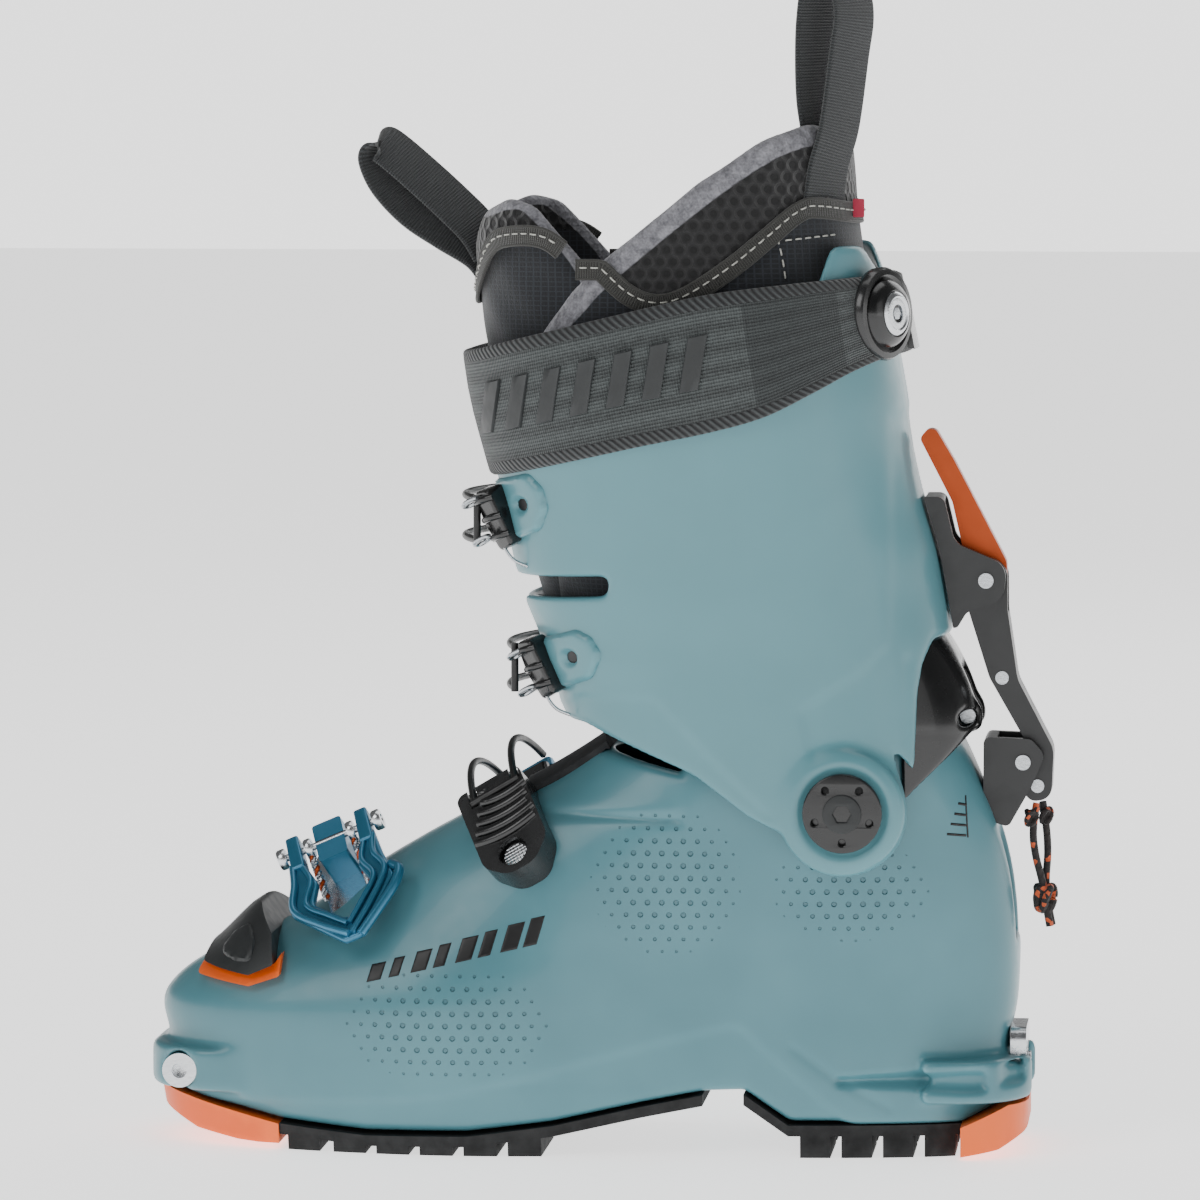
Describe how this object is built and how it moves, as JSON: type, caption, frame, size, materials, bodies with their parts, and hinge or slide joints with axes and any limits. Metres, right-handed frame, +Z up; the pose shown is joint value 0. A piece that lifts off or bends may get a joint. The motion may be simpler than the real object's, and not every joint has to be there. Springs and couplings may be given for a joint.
{
  "type": "ski touring boot",
  "caption": "Right-foot ski touring boot with hinged cuff, walk lock, buckles, power strap, inner boot and toe sockets for pin bindings.",
  "frame": {"origin": "ground level under the middle of the sole", "axes": "+X to the heel, +Y to the outer (lateral) side of this right boot, +Z up"},
  "size_m": [0.2904, 0.1263, 0.3706],
  "materials": {
    "shell_plastic": "satin moulded polyamide",
    "cuff_plastic": "satin moulded polyamide",
    "sole_rubber": "matte moulded rubber",
    "orange_plastic": "satin",
    "walk_lever_paint": "satin anodised",
    "steel": "polished",
    "black_metal": "satin black",
    "black_plastic": "satin black",
    "blue_aluminium": "satin anodised",
    "coated_wire": "black coated steel cable",
    "liner_textile": "mesh, felt and ripstop",
    "webbing": "woven",
    "soft_black": "matte",
    "cord_textile": "braided black cord with orange flecks"
  },
  "bodies": {
    "shell": {"lower_shell": "shell_plastic", "sole_front": "sole_rubber", "sole_heel": "sole_rubber", "toe_insert": "orange_plastic", "heel_insert": "orange_plastic", "sole_screws": "steel", "toe_fitting": "steel", "heel_fitting": "steel", "heel_fitting_screw": "steel", "liner_foot": "liner_textile", "boot_board": "soft_black", "ankle_bolts": "black_plastic", "rear_spine": "black_metal", "spine_bolt": "steel", "lower_bracket": "black_metal", "catch_pins": "steel", "instep_ladder": "black_plastic", "instep_rivet": "steel", "instep_lever_base": "black_plastic", "toe_axle": "steel", "toe_block": "blue_aluminium", "toe_base": "steel", "toe_cable": "steel", "toe_badge": "black_plastic", "toe_badge_trim": "orange_plastic", "throat_strip": "soft_black"},
    "cuff": {"cuff": "cuff_plastic", "pivot_bushes": "black_plastic", "liner_shaft": "liner_textile", "liner_tongue": "liner_textile", "heel_pull_loop": "webbing", "tongue_pull_loop": "webbing", "power_strap": "webbing", "strap_patch": "black_plastic", "strap_button": "black_plastic", "upper_bracket": "black_metal", "lock_axle": "steel", "cuff_upper_ladder": "black_plastic", "cuff_upper_lever_base": "black_plastic", "cuff_lower_ladder": "black_plastic", "cuff_lower_lever_base": "black_plastic"},
    "lock_arm": {"lock_arm": "black_metal", "arm_rivets": "steel"},
    "walk_lever": {"walk_lever": "walk_lever_paint"},
    "pull_cord": {"pull_cord_front": "cord_textile", "pull_cord_rear": "cord_textile", "cord_knot": "cord_textile"},
    "toe_lever": {"toe_lever": "blue_aluminium"},
    "instep_lever": {"instep_lever": "blue_aluminium"},
    "instep_bail": {"instep_bail": "coated_wire"},
    "cuff_upper_lever": {"cuff_upper_lever": "blue_aluminium"},
    "cuff_upper_bail": {"cuff_upper_bail": "coated_wire"},
    "cuff_lower_lever": {"cuff_lower_lever": "blue_aluminium"},
    "cuff_lower_bail": {"cuff_lower_bail": "coated_wire"}
  },
  "joints": [
    {"name": "cuff_flex", "type": "hinge", "parent": "shell", "child": "cuff", "pos_m": [0.082, 0, 0.112], "axis": [0, 1, 0], "range_deg": [-8, 25]},
    {"name": "lock_arm_swing", "type": "hinge", "parent": "cuff", "child": "lock_arm", "pos_m": [0.1245, 0, 0.1816], "axis": [0, -1, 0], "range_deg": [0, 40]},
    {"name": "walk_lever_flip", "type": "hinge", "parent": "cuff", "child": "walk_lever", "pos_m": [0.1245, 0, 0.1816], "axis": [0, 1, 0], "range_deg": [0, 90]},
    {"name": "cord_swing", "type": "hinge", "parent": "lock_arm", "child": "pull_cord", "pos_m": [0.1415, 0, 0.111], "axis": [0, 1, 0], "range_deg": [-38, 12.5]},
    {"name": "toe_lever_open", "type": "hinge", "parent": "shell", "child": "toe_lever", "pos_m": [-0.084, -0.014, 0.097], "axis": [-0.9173, 0, -0.3981], "range_deg": [0, 110]},
    {"name": "instep_lever_open", "type": "hinge", "parent": "shell", "child": "instep_lever", "pos_m": [-0.024, 0.033, 0.111], "axis": [0.8601, 0, 0.5101], "range_deg": [0, 140]},
    {"name": "instep_bail_swing", "type": "hinge", "parent": "shell", "child": "instep_bail", "pos_m": [-0.0295, -0.0275, 0.115], "axis": [0.8601, 0, 0.5101], "range_deg": [0, 28.5]},
    {"name": "cuff_upper_lever_open", "type": "hinge", "parent": "cuff", "child": "cuff_upper_lever", "pos_m": [0.008, 0.05843, 0.201], "axis": [0, 0, 1], "range_deg": [0, 150]},
    {"name": "cuff_upper_bail_swing", "type": "hinge", "parent": "cuff", "child": "cuff_upper_bail", "pos_m": [-0.035, -0.02758, 0.201], "axis": [0, 0, 1], "range_deg": [0, 30.5]},
    {"name": "cuff_lower_lever_open", "type": "hinge", "parent": "cuff", "child": "cuff_lower_lever", "pos_m": [0.008, 0.05094, 0.154], "axis": [0, 0, 1], "range_deg": [0, 150]},
    {"name": "cuff_lower_bail_swing", "type": "hinge", "parent": "cuff", "child": "cuff_lower_bail", "pos_m": [-0.0235, -0.02408, 0.154], "axis": [0, 0, 1], "range_deg": [0, 30.5]}
  ],
  "couplings": [
    {"joint": "cord_swing", "follows": "cuff_flex", "ratio": -1.5},
    {"joint": "instep_bail_swing", "follows": "instep_lever_open", "ratio": 0.2},
    {"joint": "cuff_upper_bail_swing", "follows": "cuff_upper_lever_open", "ratio": 0.2},
    {"joint": "cuff_lower_bail_swing", "follows": "cuff_lower_lever_open", "ratio": 0.2}
  ]
}
